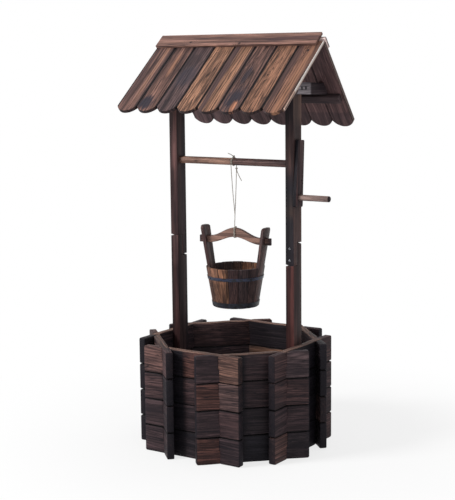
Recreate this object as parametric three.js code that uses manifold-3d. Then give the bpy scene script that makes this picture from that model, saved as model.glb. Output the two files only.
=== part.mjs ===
// Wishing well planter in charred softwood: an octagonal base of cross-halved boards, two lapped
// posts, a cranked axle with a staved bucket on twine, and a two-slope roof of round-ended boards.
// Millimetres, +Z up, X along the axle and the ridge, -Y the front, the floor at Z = 0.

import * as THREE from 'three';
import Module from 'manifold-3d';
import { mergeVertices } from 'three/addons/utils/BufferGeometryUtils.js';

const wasm = await Module();
wasm.setup();

// Clearances
const seat = 0.3;             // between pieces that rest on or in each other
const overrun = 40;           // how far a cutting tool reaches past what it cuts
const weld = 1e-4;            // vertices nearer than this are one

// Base
const courseCount = 4;
const boardHeight = 76;
const boardThickness = 20;
const boardLength = 318;
const boardEase = 5;          // rounding of a board's corners

// Posts
const postGap = 366;          // clear width between the posts
const postThickness = 25.4;
const postDepth = 44;
const postTop = 1027;
const lapBottom = 530;
const lapTop = 590;
const nickDepth = 11;         // the worn nick where two lapped ends meet
const nickHeight = 5;

// Axle and crank
const axleDrop = 217;         // from the top of a post down to the axle
const axleRadius = 10.3;
const axleClearance = 0.3;
const axleBearing = 15;       // how far the axle runs into the left post
const crankTurn = 4.2;        // degrees that the resting arm's lower end stands forward
const armThickness = 10;
const armStandoff = 0.6;
const armTopWidth = 32;
const armBottomWidth = 39;
const armAbove = 67;
const armBelow = 117;
const armCorner = 3;
const socketDepth = 6;
const pegDrop = 91;           // from the axle down the arm to the peg
const pegRadius = 8.3;
const pegReach = 94.5;
const pegChamfer = 1.5;
const tenonRadius = 5;
const armHoleRadius = 2.2;
const armHoleDrop = 44;
const armHoleOffset = 7;

// Roof
const roofLength = 549;
const roofBoards = 8;         // boards on each slope
const frontBoardLength = 297.3;         // from the apex down to the end of a board
const backBoardLength = 304.9;
const roofBoardThickness = 10;
const lobeDepth = 22.5;       // how far a board's round end bulges
const frontPitch = 40;        // degrees; the roof sits tipped back on its posts
const backPitch = 52;
const apexRise = 122.5;       // from the top of a post up to the apex
const apexBehind = 35.1;      // how far the apex is behind the middle of the posts
const jointWidth = 1.2;
const jointDepth = 3;
const capThickness = 8.5;
const frontCapWidth = 47.5;
const frontCapReach = 18;     // how far the front cap runs up past the apex
const frontCapLength = 536;
const backCapWidth = 34.4;
const battenLength = 530;
const battenWidth = 24;
const battenThickness = 16;
const battenDown = 195;       // from the apex down the slope to the batten's middle
const tieDrop = 10;           // from the top of a post down to the middle of a gable tie
const tieTip = 2;             // degrees that a tie sinks towards the back
const tieDepth = 32;
const tieThickness = 18;

// Bucket
const bucketX = 2.5;          // from the middle of the axle
const bucketTurn = 6.5;       // degrees that the hanging bucket is turned
const bucketBottom = 397;
const bucketHeight = 115;
const bucketTopRadius = 84.5;
const bucketBottomRadius = 65;
const staveThickness = 9;
const plainCount = 7;         // plain staves between the two ear staves, on either side
const stepsPerStave = 2;
const earSpan = 26;           // degrees round the bucket that an ear stave takes
const earRise = 114;          // from the rim up to the top of an ear
const earCorner = 14;
const discThickness = 8;
const discRaise = 4;
const discSteps = 32;
const hoopThickness = 1.2;
const hoopSteps = 64;
const upperHoopHeight = 9;
const upperHoopMiddle = 85;   // above the bucket's bottom edge
const lowerHoopHeight = 14;
const lowerHoopMiddle = 9;
const yokeThickness = 12;
const yokeLength = 226;
const yokeEndHeight = 20;
const yokeMiddleHeight = 26.8;
const yokeRaise = 189;        // middle of the yoke's ends, above the bucket's bottom edge
const yokeArch = 22.4;        // how far the yoke's middle rises above its ends
const yokeArchHalf = 80;      // half the length of the arched stretch
const yokeBevel = 2;
const yokeSteps = 28;

// Twine
const twineRadius = 1.2;
const twineSides = 8;
const windingSides = 6;
const loopSteps = 24;
const axleTurns = 1.5;
const axleWindingStart = 1.9; // along the axle, where the strand behind it comes up
const axleWindingEnd = -2.6;  // along the axle, where the strand in front of it goes down
const yokeTurns = 1.5;
const yokePitch = 3.1;
const leastWindingGap = 0.4;
const strandJoin = [2.6, -0.8, 656];    // where the two strands come together
const straightEnd = 10;                 // how far the twine runs straight down onto the yoke
const frontStrandMiddle = [-0.4, -5.6, 720];
const backStrandMiddle = [2.8, 4.7, 720];
const upperTail = [[1.1, -2, 821.6], [-1.2, -4, 826.5], [-7.8, -6, 831], [-16, -6.5, 833.4]];
const lowerTail = [[1.9, 10.3, 790], [4.4, 11.5, 779], [11.2, 12, 766], [18.4, 11.8, 754.6]];
const frontStrandSteps = 16;
const backStrandSteps = 12;
const tailSteps = 6;

// Derived sizes
const rightAngle = Math.PI / 2;
const sideCount = 8;
const sideTurn = 2 * Math.PI / sideCount;
const postOuter = postGap / 2 + postThickness;
const axleHeight = postTop - axleDrop;
const apexHeight = postTop + apexRise;
const tieHeight = postTop - tieDrop;
const baseApothem = postOuter + seat + boardThickness / 2;
const cornerReach = baseApothem * Math.tan(sideTurn / 2);
const baseHalfWidth = (baseApothem + boardThickness / 2 + boardLength / 2) * Math.SQRT1_2;
const armInner = postOuter + armStandoff;
const armOuter = armInner + armThickness;
const pegEnd = armOuter + pegReach;
const sideways = (pegEnd - Math.max(roofLength / 2, baseHalfWidth)) / 2;
const bucketTaper = (bucketTopRadius - bucketBottomRadius) / bucketHeight;
const earHalf = THREE.MathUtils.degToRad(earSpan / 2);
const windingRadius = axleRadius + seat + twineRadius;

// Materials
const wood = (color, roughness) => new THREE.MeshStandardMaterial({ color, roughness, metalness: 0 });
const baseWood = wood('#43302c', 0.78);
const postWood = wood('#3f2c2a', 0.75);
const axleWood = wood('#5a4038', 0.7);
const roofWood = wood('#7b5745', 0.72);
const capWood = wood('#73544b', 0.72);
const frameWood = wood('#3a2b2b', 0.8);
const staveWood = wood('#4a3430', 0.72);
const yokeWood = wood('#856457', 0.7);
const pegWood = wood('#8a6d62', 0.65);
const hoopMetal = new THREE.MeshStandardMaterial({ color: '#232838', roughness: 0.45, metalness: 0.8 });
const twineFibre = wood('#b7ab9b', 0.95);

// Solids

function solidOf(geometry) {
  const bare = geometry.clone();
  bare.deleteAttribute('normal');
  bare.deleteAttribute('uv');
  const merged = mergeVertices(bare, weld);
  const vertProperties = new Float32Array(merged.attributes.position.array);
  const triVerts = new Uint32Array(merged.index.array);
  return new wasm.Manifold(new wasm.Mesh({ numProp: 3, vertProperties, triVerts }));
}

function geometryOf(solid) {
  const mesh = solid.getMesh();
  const geometry = new THREE.BufferGeometry();
  geometry.setAttribute('position', new THREE.BufferAttribute(new Float32Array(mesh.vertProperties), 3));
  geometry.setIndex(new THREE.BufferAttribute(new Uint32Array(mesh.triVerts), 1));
  geometry.computeVertexNormals();
  return geometry;
}

function cut(geometry, cutters) {
  let solid = solidOf(geometry);
  for (const cutter of cutters) solid = solid.subtract(solidOf(cutter));
  return geometryOf(solid);
}

function join(geometries) {
  const solids = geometries.map(solidOf);
  return geometryOf(solids.reduce((whole, next) => whole.add(next)));
}

// A box between two corners.
function block(low, high) {
  const size = high.map((value, axis) => value - low[axis]);
  const geometry = new THREE.BoxGeometry(...size);
  return geometry.translate(...high.map((value, axis) => (value + low[axis]) / 2));
}

// A round bar along X from one X to another, with its axis at a given Y and Z.
function barAlongX(radius, fromX, toX, y, z, sides) {
  const geometry = new THREE.CylinderGeometry(radius, radius, toX - fromX, sides);
  return geometry.rotateZ(rightAngle).translate((fromX + toX) / 2, y, z);
}

// An outline drawn in the YZ plane and extruded along X from one X to another.
function slabAlongX(shape, fromX, toX, curveSegments) {
  const geometry = new THREE.ExtrudeGeometry(shape, {
    depth: toX - fromX,
    bevelEnabled: false,
    curveSegments,
  });
  const turn = new THREE.Matrix4().makeBasis(
    new THREE.Vector3(0, 1, 0),
    new THREE.Vector3(0, 0, 1),
    new THREE.Vector3(1, 0, 0),
  );
  return geometry.applyMatrix4(turn).translate(fromX, 0, 0);
}

function roundedOutline(halfLength, halfHeight, radius) {
  const shape = new THREE.Shape();
  const x = halfLength - radius;
  const y = halfHeight - radius;
  shape.absarc(x, -y, radius, -rightAngle, 0);
  shape.absarc(x, y, radius, 0, rightAngle);
  shape.absarc(-x, y, radius, rightAngle, 2 * rightAngle);
  shape.absarc(-x, -y, radius, 2 * rightAngle, 3 * rightAngle);
  return shape;
}

// A closed tube through rings round a line of points; the frame keeps one side towards a fixed axis.
function windingTube(points, axis, radius, sides) {
  const positions = [];
  points.forEach((point, i) => {
    const before = points[Math.max(i - 1, 0)];
    const after = points[Math.min(i + 1, points.length - 1)];
    const along = after.clone().sub(before).normalize();
    const first = axis.clone().addScaledVector(along, -axis.dot(along)).normalize();
    const second = along.clone().cross(first);
    for (let s = 0; s < sides; s++) {
      const angle = 2 * Math.PI * s / sides;
      const corner = point.clone();
      corner.addScaledVector(first, radius * Math.cos(angle));
      corner.addScaledVector(second, radius * Math.sin(angle));
      positions.push(...corner.toArray());
    }
  });
  const index = [];
  for (let i = 0; i + 1 < points.length; i++) {
    for (let s = 0; s < sides; s++) {
      const next = (s + 1) % sides;
      const a = i * sides + s;
      const b = i * sides + next;
      index.push(a, b, b + sides, a, b + sides, a + sides);
    }
  }
  const last = (points.length - 1) * sides;
  for (let s = 1; s + 1 < sides; s++) {
    index.push(0, s + 1, s);
    index.push(last, last + s, last + s + 1);
  }
  const geometry = new THREE.BufferGeometry();
  geometry.setAttribute('position', new THREE.Float32BufferAttribute(positions, 3));
  geometry.setIndex(index);
  geometry.computeVertexNormals();
  return geometry;
}

// The least clear gap between turns of a winding, measured on the points of its middle line.
function windingGap(name, points, stepsPerLoop) {
  let least = Infinity;
  for (let i = 0; i < points.length; i++) {
    for (let j = i + Math.floor(stepsPerLoop / 2); j < points.length; j++) {
      least = Math.min(least, points[i].distanceTo(points[j]) - 2 * twineRadius);
    }
  }
  console.log(`${name}: least gap between turns ${least.toFixed(2)} mm, wanted over ${leastWindingGap}`);
}

// A closed ring or part of one: a profile of [radius, height] corners carried round the Z axis.
function ringPart(profile, fromAngle, toAngle, steps) {
  const whole = toAngle - fromAngle > 2 * Math.PI - weld;
  const count = profile.length;
  const rings = whole ? steps : steps + 1;
  const positions = [];
  for (let i = 0; i < rings; i++) {
    const angle = fromAngle + (toAngle - fromAngle) * i / steps;
    for (const [r, z] of profile) positions.push(r * Math.cos(angle), r * Math.sin(angle), z);
  }
  const index = [];
  for (let i = 0; i < steps; i++) {
    const here = i * count;
    const there = ((i + 1) % rings) * count;
    for (let k = 0; k < count; k++) {
      const next = (k + 1) % count;
      index.push(here + k, there + k, there + next, here + k, there + next, here + next);
    }
  }
  if (!whole) {
    const last = steps * count;
    for (let k = 1; k + 1 < count; k++) {
      index.push(0, k, k + 1);
      index.push(last, last + k + 1, last + k);
    }
  }
  const geometry = new THREE.BufferGeometry();
  geometry.setAttribute('position', new THREE.Float32BufferAttribute(positions, 3));
  geometry.setIndex(index);
  geometry.computeVertexNormals();
  return geometry;
}

function piece(parent, name, geometry, material) {
  const mesh = new THREE.Mesh(geometry, material.clone());
  mesh.name = name;
  parent.add(mesh);
  return mesh;
}

// Base: each board lies along its side of the octagon, crosses both neighbours and is halved there.

const sideNames = ['right', 'back_right', 'back', 'back_left', 'left', 'front_left', 'front', 'front_right'];
// At each corner, whether the board that comes first in that list passes over the next one.
const firstPassesOver = [true, true, true, true, true, true, true, false];

function crossingBoard(x, turn, passesOver) {
  const halfWidth = boardThickness / 2 + seat;
  const middle = boardHeight / 2;
  const low = passesOver ? -overrun : middle - seat / 2;
  const high = passesOver ? middle + seat / 2 : boardHeight + overrun;
  const slot = block([-overrun, -halfWidth, low], [overrun, halfWidth, high]);
  return slot.rotateZ(turn).translate(x, 0, 0);
}

function baseBoard(side) {
  const shape = roundedOutline(boardLength / 2, boardHeight / 2, boardEase);
  const plank = new THREE.ExtrudeGeometry(shape, {
    depth: boardThickness,
    bevelEnabled: false,
    curveSegments: 2,
  });
  plank.rotateX(rightAngle).translate(0, boardThickness / 2, boardHeight / 2);
  const previous = (side + sideCount - 1) % sideCount;
  const ahead = crossingBoard(-cornerReach, sideTurn, firstPassesOver[side]);
  const behind = crossingBoard(cornerReach, -sideTurn, !firstPassesOver[previous]);
  return cut(plank, [ahead, behind]);
}

function makeBase(parent) {
  for (let side = 0; side < sideCount; side++) {
    const geometry = baseBoard(side);
    const facing = side * sideTurn;
    for (let course = 0; course < courseCount; course++) {
      const board = piece(parent, `course_${course + 1}_${sideNames[side]}_board`, geometry, baseWood);
      board.rotation.z = facing - rightAngle;
      board.position.set(
        baseApothem * Math.cos(facing),
        baseApothem * Math.sin(facing),
        course * (boardHeight + seat),
      );
    }
  }
}

// Posts: drawn as the right post; the left one is the same pair turned half round.

function nick(edgeX, inward, height, fromY, toY) {
  const shape = new THREE.Shape([
    new THREE.Vector2(edgeX - inward, height - nickHeight / 2),
    new THREE.Vector2(edgeX + inward * nickDepth, height),
    new THREE.Vector2(edgeX - inward, height + nickHeight / 2),
  ]);
  const geometry = new THREE.ExtrudeGeometry(shape, { depth: toY - fromY, bevelEnabled: false });
  return geometry.rotateX(rightAngle).translate(0, toY, 0);
}

function lapNicks() {
  const half = postDepth / 2;
  return [
    nick(postOuter, -1, lapTop + seat / 2, -seat / 2, half + overrun),
    nick(postGap / 2, 1, lapBottom + seat / 2, -half - overrun, seat / 2),
  ];
}

function lowerPost() {
  const half = postDepth / 2;
  const bar = block([postGap / 2, -half, 0], [postOuter, half, lapTop]);
  const frontHalf = block(
    [postGap / 2 - overrun, -half - overrun, lapBottom],
    [postOuter + overrun, seat / 2, lapTop + overrun],
  );
  return cut(bar, [frontHalf, ...lapNicks()]);
}

function upperPost(boreFrom, boreTo) {
  const half = postDepth / 2;
  const bar = block([postGap / 2, -half, lapBottom + seat], [postOuter, half, postTop]);
  const backHalf = block(
    [postGap / 2 - overrun, -seat / 2, lapBottom - overrun],
    [postOuter + overrun, half + overrun, lapTop + seat],
  );
  const bore = barAlongX(axleRadius + axleClearance, boreFrom, boreTo, 0, axleHeight, loopSteps);
  return cut(bar, [backHalf, bore, ...lapNicks()]);
}

function makePosts(parent) {
  const through = [postGap / 2 - overrun, postOuter + overrun];
  const blind = [postGap / 2 - overrun, postGap / 2 + axleBearing];
  for (const [side, turn, bore] of [['right', 0, through], ['left', Math.PI, blind]]) {
    const group = new THREE.Group();
    group.rotation.z = turn;
    parent.add(group);
    piece(group, `${side}_post_lower`, lowerPost(), postWood);
    piece(group, `${side}_post_upper`, upperPost(...bore), postWood);
  }
}

// Axle, crank arm and hand peg. The arm and the peg are drawn round the axle's middle line.

function crankArm() {
  const top = armTopWidth / 2;
  const bottom = armBottomWidth / 2;
  const shape = new THREE.Shape([
    new THREE.Vector2(bottom - armCorner, -armBelow),
    new THREE.Vector2(bottom, -armBelow + armCorner),
    new THREE.Vector2(top, armAbove - armCorner),
    new THREE.Vector2(top - armCorner, armAbove),
    new THREE.Vector2(armCorner - top, armAbove),
    new THREE.Vector2(-top, armAbove - armCorner),
    new THREE.Vector2(-bottom, -armBelow + armCorner),
    new THREE.Vector2(armCorner - bottom, -armBelow),
  ]);
  const slab = slabAlongX(shape, armInner, armOuter, 1);
  const axleSocket = barAlongX(
    axleRadius + seat, armInner - overrun, armInner + socketDepth, 0, 0, loopSteps,
  );
  const pegSocket = barAlongX(
    tenonRadius + seat, armOuter - socketDepth, armOuter + overrun, 0, -pegDrop, loopSteps,
  );
  const hole = barAlongX(
    armHoleRadius, armInner - overrun, armOuter + overrun, armHoleOffset, -armHoleDrop, twineSides,
  );
  return cut(slab, [axleSocket, pegSocket, hole]);
}

function handPeg() {
  const inner = armOuter - socketDepth + seat;
  const shoulder = armOuter + seat;
  const profile = [
    [0, inner],
    [tenonRadius, inner],
    [tenonRadius, shoulder],
    [pegRadius, shoulder],
    [pegRadius, pegEnd - pegChamfer],
    [pegRadius - pegChamfer, pegEnd],
    [0, pegEnd],
  ];
  const points = profile.map(([r, x]) => new THREE.Vector2(r, x));
  const geometry = new THREE.LatheGeometry(points, loopSteps);
  return geometry.rotateZ(-rightAngle).translate(0, 0, -pegDrop);
}

function makeCrank(parent) {
  const leftEnd = -postGap / 2 - axleBearing + seat;
  const rightEnd = armInner + socketDepth - seat;
  const axle = barAlongX(axleRadius, leftEnd, rightEnd, 0, axleHeight, loopSteps);
  piece(parent, 'axle', axle, axleWood);
  const crank = new THREE.Group();
  crank.position.z = axleHeight;
  crank.rotation.x = -THREE.MathUtils.degToRad(crankTurn);
  parent.add(crank);
  piece(crank, 'crank_arm', crankArm(), axleWood);
  piece(crank, 'crank_peg', handPeg(), pegWood);
}

// Roof. In a slope's own frame the apex is the origin, -Y runs down the slope and +Z is the outward
// normal.

const slopes = [
  { side: 'front', turn: 0, pitch: THREE.MathUtils.degToRad(frontPitch), length: frontBoardLength },
  { side: 'back', turn: Math.PI, pitch: THREE.MathUtils.degToRad(backPitch), length: backBoardLength },
];

function slopeFrame(slope) {
  const outer = new THREE.Matrix4().makeRotationZ(slope.turn);
  const inner = new THREE.Matrix4().makeRotationX(slope.pitch);
  const place = new THREE.Matrix4().makeTranslation(0, apexBehind, apexHeight);
  return place.multiply(outer).multiply(inner);
}

function roofPanel(slope) {
  const half = roofLength / 2;
  const squareEnd = roofBoardThickness * Math.tan(slope.pitch) + seat;
  const width = roofLength / roofBoards;
  const cusp = slope.length - lobeDepth;
  const radius = (width * width / 4 + lobeDepth * lobeDepth) / (2 * lobeDepth);
  const spread = Math.asin(width / 2 / radius);
  const shape = new THREE.Shape();
  shape.moveTo(half, -squareEnd);
  shape.lineTo(-half, -squareEnd);
  for (let i = 0; i < roofBoards; i++) {
    const middle = -half + (i + 0.5) * width;
    const from = -rightAngle - spread;
    const to = -rightAngle + spread;
    shape.absarc(middle, radius - slope.length, radius, from, to, false);
    if (i === 0) shape.lineTo(-half + width, -cusp);
  }
  shape.lineTo(half, -squareEnd);
  const slab = new THREE.ExtrudeGeometry(shape, {
    depth: roofBoardThickness,
    bevelEnabled: false,
    curveSegments: 4,
  });
  slab.translate(0, 0, -roofBoardThickness);
  const joints = [];
  for (let i = 1; i < roofBoards; i++) {
    const x = -half + i * width;
    joints.push(block(
      [x - jointWidth / 2, -slope.length - overrun, -jointDepth],
      [x + jointWidth / 2, overrun, overrun],
    ));
  }
  return cut(slab, joints);
}

function battenBlock(clearance, lowerEnd) {
  const x = battenLength / 2 + clearance;
  const upperEnd = battenDown - battenWidth / 2 - clearance;
  const top = -roofBoardThickness - seat + clearance;
  const bottom = top - battenThickness - 2 * clearance;
  return block([-x, -lowerEnd, bottom], [x, -upperEnd, top]);
}

// Everything from a slope's underside outwards.
function aboveSlope(slope) {
  const reach = slope.length + overrun;
  const low = [-roofLength, -reach, -roofBoardThickness - seat];
  return block(low, [roofLength, reach, reach]).applyMatrix4(slopeFrame(slope));
}

// A tie stops at the battens: it is cut away from each batten's upper side on down the slope.
function gableTie() {
  const half = tieDepth / 2;
  const inner = postOuter + seat;
  const bar = block([inner, -battenDown, -half], [inner + tieThickness, battenDown, half]);
  bar.rotateX(-THREE.MathUtils.degToRad(tieTip)).translate(0, 0, tieHeight);
  const ends = slopes.map((slope) => (
    battenBlock(seat, slope.length + overrun).applyMatrix4(slopeFrame(slope))
  ));
  return cut(bar, [...slopes.map(aboveSlope), ...ends]);
}

function makeRoof(parent) {
  const half = roofLength / 2;
  const batten = battenBlock(0, battenDown + battenWidth / 2);
  const capTop = seat + capThickness;
  const frontLow = [-half, frontCapReach - frontCapWidth, seat];
  const caps = [
    block(frontLow, [frontCapLength - half, frontCapReach, capTop]),
    block([-half, -backCapWidth, seat], [half, -seat, capTop]),
  ];
  slopes.forEach((slope, i) => {
    const group = new THREE.Group();
    group.applyMatrix4(slopeFrame(slope));
    parent.add(group);
    piece(group, `${slope.side}_roof_boards`, roofPanel(slope), roofWood);
    piece(group, `${slope.side}_ridge_cap`, caps[i], capWood);
    piece(group, `${slope.side}_batten`, batten, frameWood);
  });
  const tie = gableTie();
  piece(parent, 'right_gable_tie', tie, frameWood);
  const leftTie = piece(parent, 'left_gable_tie', tie, frameWood);
  leftTie.position.x = -2 * (postOuter + seat) - tieThickness;
}

// Bucket: modelled round its own upright axis, with its bottom edge at Z = 0 and its ears on X.

const wallRadius = (z) => bucketBottomRadius + z * bucketTaper;

function staveProfile(top) {
  return [
    [wallRadius(0) - staveThickness, 0],
    [wallRadius(0), 0],
    [wallRadius(top), top],
    [wallRadius(top) - staveThickness, top],
  ];
}

function plainStaves() {
  const gap = seat / 2 / (bucketBottomRadius - staveThickness);
  const from = earHalf + gap;
  const to = Math.PI - earHalf - gap;
  return ringPart(staveProfile(bucketHeight), from, to, plainCount * stepsPerStave);
}

function earStave() {
  const gap = seat / 2 / (bucketBottomRadius - staveThickness);
  const top = bucketHeight + earRise;
  const half = earHalf - gap;
  const stave = ringPart(staveProfile(top), -half, half, stepsPerStave);
  const width = wallRadius(top) * Math.tan(half);
  const outline = roundedOutline(width, top, earCorner);
  const envelope = slabAlongX(outline, 0, wallRadius(top) + overrun, 4);
  const slotHalf = yokeThickness / 2 + seat;
  const slotHeight = yokeEndHeight / 2 + seat;
  const slot = block([0, -slotHalf, yokeRaise - slotHeight], [yokeLength, slotHalf, yokeRaise + slotHeight]);
  const shaped = solidOf(stave).intersect(solidOf(envelope)).subtract(solidOf(slot));
  return geometryOf(shaped);
}

function hoop(middle, height) {
  const low = middle - height / 2;
  const high = middle + height / 2;
  const inner = (z) => (wallRadius(z) + seat) / Math.cos(Math.PI / hoopSteps);
  const profile = [
    [inner(low), low],
    [inner(low) + hoopThickness, low],
    [inner(high) + hoopThickness, high],
    [inner(high), high],
  ];
  return ringPart(profile, 0, 2 * Math.PI, hoopSteps);
}

function bottomDisc() {
  const flatShare = Math.cos(earHalf / stepsPerStave);
  const inner = (z) => (wallRadius(z) - staveThickness) * flatShare - seat;
  const points = [
    new THREE.Vector2(0, discRaise),
    new THREE.Vector2(inner(discRaise), discRaise),
    new THREE.Vector2(inner(discRaise + discThickness), discRaise + discThickness),
    new THREE.Vector2(0, discRaise + discThickness),
  ];
  const geometry = new THREE.LatheGeometry(points, discSteps);
  return geometry.rotateX(rightAngle);
}

// The yoke's middle line and height at a distance from its middle.
const archShare = (x) => (1 + Math.cos(Math.PI * Math.min(Math.abs(x) / yokeArchHalf, 1))) / 2;
const yokeLine = (x) => yokeRaise + yokeArch * archShare(x);
const yokeHeight = (x) => yokeEndHeight + (yokeMiddleHeight - yokeEndHeight) * archShare(x);

function yoke() {
  const above = [];
  const below = [];
  for (let i = 0; i <= yokeSteps; i++) {
    const x = yokeLength * (i / yokeSteps - 0.5);
    above.push(new THREE.Vector2(x, yokeLine(x) + yokeHeight(x) / 2));
    below.push(new THREE.Vector2(x, yokeLine(x) - yokeHeight(x) / 2));
  }
  const shape = new THREE.Shape([...below, ...above.reverse()]);
  const geometry = new THREE.ExtrudeGeometry(shape, {
    depth: yokeThickness - 2 * yokeBevel,
    bevelThickness: yokeBevel,
    bevelSize: yokeBevel,
    bevelOffset: -yokeBevel,
    bevelSegments: 1,
  });
  return geometry.rotateX(rightAngle).translate(0, yokeThickness / 2 - yokeBevel, 0);
}

// One round of twine round the yoke's section: round corners joined by straight runs, from the front.
function yokeLoopPoint(step) {
  const cornerSteps = 4;
  const runSteps = loopSteps / 4 - cornerSteps;
  const radius = yokeBevel + seat + twineRadius;
  const y = yokeThickness / 2 - yokeBevel;
  const z = yokeMiddleHeight / 2 - yokeBevel;
  const corners = [[-y, -z, 2], [y, -z, 3], [y, z, 0], [-y, z, 1]];
  const at = step % loopSteps;
  const corner = Math.floor(at / (cornerSteps + runSteps));
  const within = at % (cornerSteps + runSteps);
  const pointOn = ([cy, cz, quarter], share) => {
    const angle = rightAngle * (quarter + share);
    return [cy + radius * Math.cos(angle), cz + radius * Math.sin(angle)];
  };
  if (within <= cornerSteps) return pointOn(corners[corner], within / cornerSteps);
  const from = pointOn(corners[corner], 1);
  const to = pointOn(corners[(corner + 1) % corners.length], 0);
  const share = (within - cornerSteps) / runSteps;
  return from.map((value, axis) => value + (to[axis] - value) * share);
}

// Where the twine comes down to the yoke, in the bucket's frame.
const windingTop = yokeLine(0) + yokeMiddleHeight / 2 + twineRadius;
const windingFront = -yokeThickness / 2 - seat - twineRadius;
const windingStartX = yokePitch * yokeTurns / 2;

function yokeWinding() {
  const points = [new THREE.Vector3(windingStartX, windingFront, windingTop)];
  for (let i = 0; i <= yokeTurns * loopSteps; i++) {
    const [y, z] = yokeLoopPoint(i);
    points.push(new THREE.Vector3(windingStartX - yokePitch * i / loopSteps, y, yokeLine(0) + z));
  }
  windingGap('twine_round_yoke', points.slice(1), loopSteps);
  return windingTube(points, new THREE.Vector3(1, 0, 0), twineRadius, windingSides);
}

function makeBucket(parent) {
  const bucket = new THREE.Group();
  bucket.position.set(bucketX, 0, bucketBottom);
  bucket.rotation.z = THREE.MathUtils.degToRad(bucketTurn);
  parent.add(bucket);
  piece(bucket, 'bucket_back_staves', plainStaves(), staveWood);
  piece(bucket, 'bucket_front_staves', plainStaves(), staveWood).rotation.z = Math.PI;
  piece(bucket, 'bucket_right_ear', earStave(), staveWood);
  piece(bucket, 'bucket_left_ear', earStave(), staveWood).rotation.z = Math.PI;
  piece(bucket, 'bucket_bottom', bottomDisc(), staveWood);
  piece(bucket, 'bucket_upper_hoop', hoop(upperHoopMiddle, upperHoopHeight), hoopMetal);
  piece(bucket, 'bucket_lower_hoop', hoop(lowerHoopMiddle, lowerHoopHeight), hoopMetal);
  piece(bucket, 'bucket_yoke', yoke(), yokeWood);
  piece(bucket, 'twine_round_yoke', yokeWinding(), twineFibre);
}

// Twine: wound round the axle from behind to the front, with a strand hanging from each end and the
// two ends of the cord sticking out of its knots.

function axleWinding() {
  const turn = axleTurns * 2 * Math.PI;
  const points = [new THREE.Vector3(axleWindingStart, windingRadius, axleHeight - 2 * twineRadius)];
  const steps = axleTurns * loopSteps;
  for (let i = 0; i <= steps; i++) {
    const angle = turn * i / steps;
    points.push(new THREE.Vector3(
      axleWindingStart + (axleWindingEnd - axleWindingStart) * i / steps,
      windingRadius * Math.cos(angle),
      axleHeight + windingRadius * Math.sin(angle),
    ));
  }
  points.push(new THREE.Vector3(axleWindingEnd, -windingRadius, axleHeight - 2 * twineRadius));
  windingGap('twine_round_axle', points.slice(1, -1), loopSteps);
  const winding = windingTube(points, new THREE.Vector3(1, 0, 0), twineRadius, windingSides);
  return join([winding, strand(upperTail, tailSteps)]);
}

function strand(points, steps) {
  const section = new THREE.Shape();
  section.absarc(0, 0, twineRadius, 0, 2 * Math.PI);
  return new THREE.ExtrudeGeometry(section, {
    steps,
    bevelEnabled: false,
    curveSegments: twineSides / 2,
    extrudePath: new THREE.CatmullRomCurve3(points.map((point) => new THREE.Vector3(...point))),
  });
}

function hangingTwine() {
  const start = axleHeight - 2 * twineRadius - seat;
  const turn = THREE.MathUtils.degToRad(bucketTurn);
  const end = new THREE.Vector3(windingStartX, windingFront, windingTop + seat);
  end.applyAxisAngle(new THREE.Vector3(0, 0, 1), turn).add(new THREE.Vector3(bucketX, 0, bucketBottom));
  const joined = end.clone();
  joined.z += straightEnd;
  const frontStart = [axleWindingEnd, -windingRadius, start];
  const backStart = [axleWindingStart, windingRadius, start];
  const lowest = [strandJoin, joined.toArray(), end.toArray()];
  return join([
    strand([frontStart, frontStrandMiddle, ...lowest], frontStrandSteps),
    strand([backStart, backStrandMiddle, strandJoin], backStrandSteps),
    strand(lowerTail, tailSteps),
  ]);
}

function makeTwine(parent) {
  piece(parent, 'twine_round_axle', axleWinding(), twineFibre);
  piece(parent, 'hanging_twine', hangingTwine(), twineFibre);
}

const well = new THREE.Group();
well.position.x = -sideways;
makeBase(well);
makePosts(well);
makeCrank(well);
makeRoof(well);
makeBucket(well);
makeTwine(well);

const part = new THREE.Group();
part.add(well);

export default part;
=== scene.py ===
import bmesh
import bpy
import math
import random
from mathutils import Matrix, Vector, noise


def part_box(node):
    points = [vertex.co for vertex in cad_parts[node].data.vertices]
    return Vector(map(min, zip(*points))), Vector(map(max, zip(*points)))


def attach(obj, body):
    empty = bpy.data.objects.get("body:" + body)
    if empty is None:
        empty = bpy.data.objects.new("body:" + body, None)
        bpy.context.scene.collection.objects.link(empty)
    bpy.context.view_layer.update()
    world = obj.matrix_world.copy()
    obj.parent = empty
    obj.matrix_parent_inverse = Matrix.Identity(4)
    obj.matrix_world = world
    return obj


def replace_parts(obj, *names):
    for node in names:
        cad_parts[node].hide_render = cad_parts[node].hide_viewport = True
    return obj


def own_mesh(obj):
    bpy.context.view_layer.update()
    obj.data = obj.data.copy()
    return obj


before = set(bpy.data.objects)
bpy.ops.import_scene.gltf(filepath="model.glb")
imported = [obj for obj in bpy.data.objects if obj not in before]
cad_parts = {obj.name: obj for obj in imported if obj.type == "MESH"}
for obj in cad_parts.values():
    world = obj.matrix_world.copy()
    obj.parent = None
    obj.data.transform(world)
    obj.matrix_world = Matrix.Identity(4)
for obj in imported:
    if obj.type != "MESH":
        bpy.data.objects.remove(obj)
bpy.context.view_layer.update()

# Sizes in metres, the same as the CAD model's. MIDDLE is the well's middle: the whole box, with the
# crank, is centred on the origin.

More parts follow.
